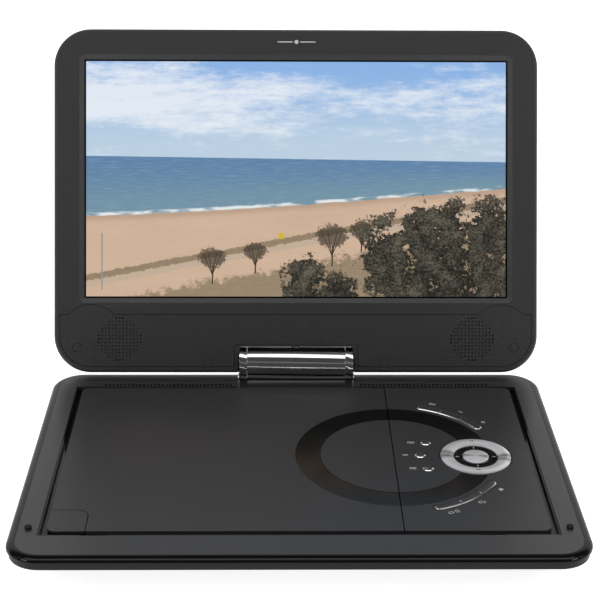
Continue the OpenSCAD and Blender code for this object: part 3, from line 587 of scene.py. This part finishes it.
def about_ring(angle, radius):
    """A point on the deck at that angle and radius from the ring's middle."""
    a = math.radians(angle)
    return Vector((RING.x + radius * math.cos(a), RING.y + radius * math.sin(a), DECK_Z))


def key_marks():
    """Small plain icons outside the arc keys and left of the round buttons."""
    marks = Marks("key_icons", "base", "key_chrome", WHITE_INK, ACROSS, DEPTHWISE, PRINT)
    key_out = RING_R + 10.2 * MM
    for i, angle in enumerate((66, 50, 35, -66, -50, -35)):
        spot = about_ring(angle, key_out)
        turn = angle - 90 if angle > 0 else angle + 90
        if i == 0:  # a list of three lines
            for row in (-1, 0, 1):
                marks.bar(spot, 0, row * 0.75, 3.4, 0.32, turn)
        if i in (1, 2):  # less, and more
            marks.bar(spot, 0, 0, 2.4, 0.4, turn)
        if i == 2:
            marks.bar(spot, 0, 0, 0.4, 2.4, turn)
        if i == 3:  # a wide picture and a tall one
            marks.frame_box(spot, -1.6, 0, 2.4, 1.7, 0.32, turn)
            marks.frame_box(spot, 1.6, 0, 1.7, 2.2, 0.32, turn)
        if i == 4:  # one sheet in front of another
            marks.frame_box(spot, -0.5, 0.35, 2.0, 1.6, 0.32, turn)
            marks.bar(spot, 1.3, -0.6, 0.32, 1.6, turn)
            marks.bar(spot, 0.5, -1.3, 1.6, 0.32, turn)
        if i == 5:  # stop
            marks.bar(spot, 0, 0, 1.9, 1.9, turn)
    for i in (1, 2, 3):
        low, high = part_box(f"round_button_{i}")
        spot = Vector((low[0] - 3.4 * MM, (low[1] + high[1]) / 2, DECK_Z))
        if i == 1:
            marks.frame_box(spot, 0, 0, 3.4, 1.6, 0.3)
            marks.bar(spot, 0, 0, 1.6, 0.35)
        if i == 2:
            marks.wedge(spot, -0.9, 0, 1.5, -1)
            marks.wedge(spot, 0.9, 0, 1.5, 1)
        if i == 3:
            for row in (-1, 0, 1):
                marks.bar(spot, 0, row * 0.7, 3.2, 0.32)
    marks.done()


def pad_marks():
    """Arrows on the silver pad, and ticks on the black annulus inside it."""
    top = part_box("dpad_ring")[1][2]
    arrows = Marks("pad_arrows", "pad", "pad_silver", GREY_INK, ACROSS, DEPTHWISE, 0.03 * MM)
    crown = PAD_R - 3.0 * MM
    for step in range(4):
        a = math.radians(90 * step)
        spot = Vector((PAD.x + crown * math.cos(a), PAD.y + crown * math.sin(a), top - 0.01 * MM))
        if step % 2 == 0:
            way = 1 if step == 0 else -1
            arrows.wedge(spot, -0.55 * way, 0, 1.1, way)
            arrows.wedge(spot, 0.55 * way, 0, 1.1, way)
            arrows.bar(spot, 1.35 * way, 0, 0.28, 1.1)
        else:
            arrows.wedge(spot, -0.75, 0, 1.1, 1)
            arrows.wedge(spot, 0.35, 0, 1.1, 1)
    arrows.done()
    ticks = Marks("pad_ticks", "pad_gimbal", "key_chrome", WHITE_INK, ACROSS, DEPTHWISE, PRINT)
    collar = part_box("dpad_pivot")[1][2]
    reach = (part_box("ok_button")[1][0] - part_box("ok_button")[0][0]) / 2 + 2.6 * MM
    for step in range(4):
        a = math.radians(90 * step)
        spot = Vector((PAD.x + reach * math.cos(a), PAD.y + reach * math.sin(a), collar))
        ticks.bar(spot, 0, 0, 1.7, 0.42, 90 * step)
    ticks.done()


def tab_mark():
    """A raised arrow on the release tab."""
    low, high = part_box("open_button")
    spot = Vector((low[0] + 4.5 * MM, low[1] + 4.5 * MM, high[2]))
    marks = Marks("tab_arrow", "release_tab", "deck_plastic", FINISHES["rim_plastic"],
                  ACROSS, DEPTHWISE, 0.12 * MM)
    marks.wedge(spot, 0, 0, 2.2, 1, 90)
    marks.bar(spot, -1.5, 0, 0.5, 2.4, 90)
    marks.done()


def screen_mark():
    """A small plain mark above the picture: a dot between two dashes."""
    top = span("screen_bezel", LID_UP)[1]
    face = span("screen_bezel", LID_FRONT)[1]
    height = (top + GLASS_V[1]) / 2 + 1.0 * MM
    spot = LID_UP * height + LID_FRONT * face
    marks = Marks("screen_mark", "screen", "key_chrome", WHITE_INK, ACROSS, LID_UP, PRINT)
    for side in (-1, 1):
        marks.bar(spot, side * 6.0, 0, 8.0, 0.55)
    rays = [math.radians(angle) for angle in range(0, 360, 30)]
    marks.outline(spot, [(1.1 * math.cos(ray), 1.1 * math.sin(ray)) for ray in rays])
    marks.done()


key_marks()
pad_marks()
tab_mark()
screen_mark()

# ---- 5. Edges ----

# How wide each node's edges are rounded, in millimetres
CRISP = {"control_panel": 0.22, "disc_door": 0.22, "open_button": 0.3, "top_casing": 0.15,
         "hinge_barrel": 0.1, "hinge_caps": 0.1, "deck_surround": 0.15, "rubber_feet": 0.5,
         "lid_bumpers": 0.4, "power_switch": 0.2, "door_ring": 0.1, "panel_ring": 0.1,
         "ok_button": 0.15, "dpad_pivot": 0.2, "jack_block": 0.2, "dc_jack": 0.2,
         "screen_bezel": 0.12}


def soften(node, width):
    """Rounds a CAD node's sharp edges a little, so that they catch the light."""
    obj = nodes[node]
    weld = obj.modifiers.new("weld", "WELD")
    weld.merge_threshold = 0.001 * MM
    bevel = obj.modifiers.new("edges", "BEVEL")
    bevel.width = width * MM
    bevel.segments = 2
    bevel.limit_method = "ANGLE"
    bevel.angle_limit = math.radians(40)
    bevel.use_clamp_overlap = True
    bevel.harden_normals = True


for node_name, edge_mm in CRISP.items():
    soften(node_name, edge_mm)

# ---- 6. Camera, light and floor ----


def make_camera():
    """Above and in front of the base, looking down over the deck at the screen."""
    eye = (-0.0102, -0.6690, 0.3799)
    pitch, yaw, roll = map(math.radians, (23.387, 0.959, 0.429))
    ahead = Vector((math.sin(yaw) * math.cos(pitch), math.cos(yaw) * math.cos(pitch),
                    -math.sin(pitch)))
    level = Vector((math.cos(yaw), -math.sin(yaw), 0))
    upward = level.cross(ahead)
    right = level * math.cos(roll) + upward * math.sin(roll)
    top = upward * math.cos(roll) - level * math.sin(roll)
    camera = bpy.data.objects.new("camera", bpy.data.cameras.new("camera"))
    camera.matrix_world = Matrix((
        (right.x, top.x, -ahead.x, eye[0]),
        (right.y, top.y, -ahead.y, eye[1]),
        (right.z, top.z, -ahead.z, eye[2]),
        (0, 0, 0, 1)))
    camera.data.lens = 89.84
    camera.data.sensor_width = 36
    camera.data.clip_start = 0.01
    bpy.context.scene.collection.objects.link(camera)
    bpy.context.scene.camera = camera


def soft_box(name, place, target, wide, tall, power):
    """A rectangular light that faces a target."""
    data = bpy.data.lights.new(name, "AREA")
    data.shape = "RECTANGLE"
    data.size, data.size_y = wide, tall
    data.energy = power
    light = bpy.data.objects.new(name, data)
    light.location = place
    light.rotation_euler = (Vector(target) - Vector(place)).to_track_quat("-Z", "Y").to_euler()
    bpy.context.scene.collection.objects.link(light)


def make_floor():
    """A wide pale table top, lit a little from inside."""
    half = 6.0
    data = bpy.data.meshes.new("floor")
    corners = [(-half, -half, 0), (half, -half, 0), (half, half, 0), (-half, half, 0)]
    data.from_pydata(corners, [], [(0, 1, 2, 3)])
    paint = Paint("floor_paint", specular_ior_level=0.1)
    speck = paint.noise(3 * MM, 3)
    paint.color(paint.blend(speck, (0.90, 0.90, 0.90), (0.93, 0.93, 0.93)))
    paint.rough(0.7 + speck * 0.1)
    paint.plug(paint.shader.inputs["Emission Color"], paint.blend(speck, (0.96,) * 3, (1.0,) * 3))
    paint.shader.inputs["Emission Strength"].default_value = 0.9
    data.materials.append(paint.mat)
    floor = bpy.data.objects.new("floor", data)
    floor.location.z = cad_low[2] - 0.02 * MM
    bpy.context.scene.collection.objects.link(floor)


def make_world():
    """A studio: white behind, dark overhead with a bright strip, and dim in front."""
    world = bpy.data.worlds.new("studio")
    bpy.context.scene.world = world
    world.use_nodes = True
    tree = world.node_tree
    back = tree.nodes["Background"]
    place = tree.nodes.new("ShaderNodeTexCoord")
    split = tree.nodes.new("ShaderNodeSeparateXYZ")
    tree.links.new(place.outputs["Generated"], split.inputs[0])
    turn = tree.nodes.new("ShaderNodeMath")
    turn.operation = "ARCTAN2"
    tree.links.new(split.outputs["Z"], turn.inputs[0])
    tree.links.new(split.outputs["Y"], turn.inputs[1])
    part = tree.nodes.new("ShaderNodeMath")
    part.operation = "DIVIDE"
    part.inputs[1].default_value = math.pi
    tree.links.new(turn.outputs[0], part.inputs[0])
    ramp = tree.nodes.new("ShaderNodeValToRGB")
    tree.links.new(part.outputs[0], ramp.inputs[0])
    # Degrees over the top from the rear horizon, and how bright the studio is there
    bands = ((0, 1.0), (40, 1.0), (50, 0.10), (80, 0.10), (87, 1.0), (104, 1.0), (112, 0.08),
             (139, 0.08), (146, 0.30), (153, 0.08), (180, 0.08))
    while len(ramp.color_ramp.elements) < len(bands):
        ramp.color_ramp.elements.new(0.5)
    for stop, (degrees, level) in zip(ramp.color_ramp.elements, bands):
        stop.position = degrees / 180
        stop.color = (level, level, level, 1)
    tree.links.new(ramp.outputs["Color"], back.inputs["Color"])
    back.inputs["Strength"].default_value = 1.0


make_camera()
make_floor()
make_world()
soft_box("overhead", (0.0, -0.16, 1.5), (0, -0.02, 0), 1.8, 0.55, 5)
soft_box("front_left", (-1.2, -0.8, 0.8), (0, 0, 0.05), 0.4, 0.6, 4)
soft_box("front_right", (1.2, -0.8, 0.8), (0, 0, 0.05), 0.4, 0.6, 4)
bpy.context.scene.view_settings.view_transform = "Standard"
